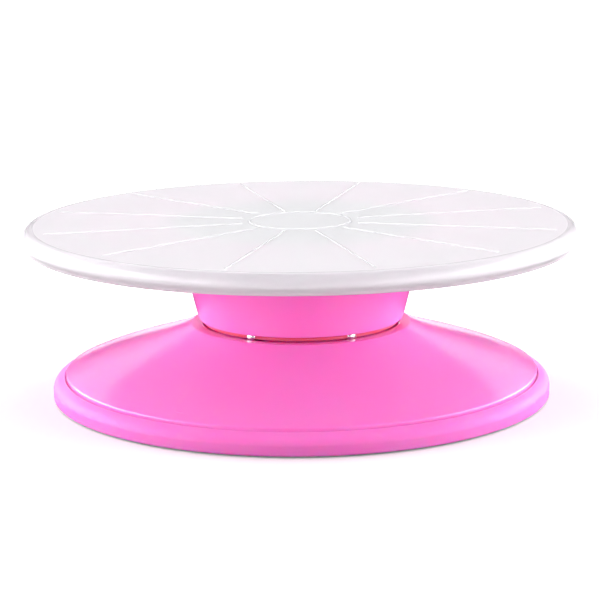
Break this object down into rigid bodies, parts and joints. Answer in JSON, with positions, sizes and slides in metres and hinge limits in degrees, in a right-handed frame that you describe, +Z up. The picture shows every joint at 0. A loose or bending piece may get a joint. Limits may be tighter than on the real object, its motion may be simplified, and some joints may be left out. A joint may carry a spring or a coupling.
{
  "type": "cake turntable",
  "caption": "Round cake decorating turntable: a white plate with raised guide lines on a tapered pink collar, turning on a ball race over a broad cone-shaped pink base with rubber feet.",
  "frame": {"origin": "on the axis of rotation, at the table surface under the feet", "axes": "+Z up along the axis of rotation, -Y towards the viewer of the usual front"},
  "size_m": [0.28, 0.28, 0.0882],
  "materials": {
    "white_plastic": "moulded white plastic, satin gloss",
    "pink_plastic": "moulded pink plastic, polished tool finish",
    "coral_plastic": "moulded coral plastic",
    "natural_nylon": "natural turned plastic",
    "polished_steel": "polished bearing steel",
    "ground_steel": "ground steel",
    "zinc_steel": "zinc plated steel",
    "foot_rubber": "pale soft rubber, matte"
  },
  "bodies": {
    "base": {"base_shell": "pink_plastic", "base_ring": "pink_plastic", "base_ring_screws": "zinc_steel", "pivot_bush": "natural_nylon", "foot_1": "foot_rubber", "foot_2": "foot_rubber", "foot_3": "foot_rubber", "foot_4": "foot_rubber", "foot_5": "foot_rubber", "foot_6": "foot_rubber"},
    "rotor": {"turntable_plate": "white_plastic", "neck_collar": "pink_plastic", "collar_screws": "zinc_steel", "pivot_spindle": "ground_steel", "thrust_washer": "natural_nylon", "retaining_washer": "zinc_steel", "lock_washer": "zinc_steel", "pivot_screw": "zinc_steel"},
    "cage": {"ball_cage": "coral_plastic"},
    "ball_1": {"bearing_ball_1": "polished_steel"},
    "ball_2": {"bearing_ball_2": "polished_steel"},
    "ball_3": {"bearing_ball_3": "polished_steel"},
    "ball_4": {"bearing_ball_4": "polished_steel"},
    "ball_5": {"bearing_ball_5": "polished_steel"},
    "ball_6": {"bearing_ball_6": "polished_steel"}
  },
  "joints": [
    {"name": "plate_spin", "type": "hinge", "parent": "base", "child": "rotor", "pos_m": [0, 0, 0.03757], "axis": [0, 0, 1], "continuous": true},
    {"name": "cage_spin", "type": "hinge", "parent": "base", "child": "cage", "pos_m": [0, 0, 0.03757], "axis": [0, 0, 1], "continuous": true},
    {"name": "ball_roll_1", "type": "hinge", "parent": "cage", "child": "ball_1", "pos_m": [0.0475, 0, 0.03757], "axis": [1, 0, 0], "continuous": true},
    {"name": "ball_roll_2", "type": "hinge", "parent": "cage", "child": "ball_2", "pos_m": [0.02375, 0.04114, 0.03757], "axis": [0.5, 0.866, 0], "continuous": true},
    {"name": "ball_roll_3", "type": "hinge", "parent": "cage", "child": "ball_3", "pos_m": [-0.02375, 0.04114, 0.03757], "axis": [-0.5, 0.866, 0], "continuous": true},
    {"name": "ball_roll_4", "type": "hinge", "parent": "cage", "child": "ball_4", "pos_m": [-0.0475, 0, 0.03757], "axis": [-1, 0, 0], "continuous": true},
    {"name": "ball_roll_5", "type": "hinge", "parent": "cage", "child": "ball_5", "pos_m": [-0.02375, -0.04114, 0.03757], "axis": [-0.5, -0.866, 0], "continuous": true},
    {"name": "ball_roll_6", "type": "hinge", "parent": "cage", "child": "ball_6", "pos_m": [0.02375, -0.04114, 0.03757], "axis": [0.5, -0.866, 0], "continuous": true}
  ],
  "couplings": [
    {"joint": "cage_spin", "follows": "plate_spin", "ratio": 0.5},
    {"joint": "ball_roll_1", "follows": "plate_spin", "ratio": -7.9167},
    {"joint": "ball_roll_2", "follows": "plate_spin", "ratio": -7.9167},
    {"joint": "ball_roll_3", "follows": "plate_spin", "ratio": -7.9167},
    {"joint": "ball_roll_4", "follows": "plate_spin", "ratio": -7.9167},
    {"joint": "ball_roll_5", "follows": "plate_spin", "ratio": -7.9167},
    {"joint": "ball_roll_6", "follows": "plate_spin", "ratio": -7.9167}
  ]
}
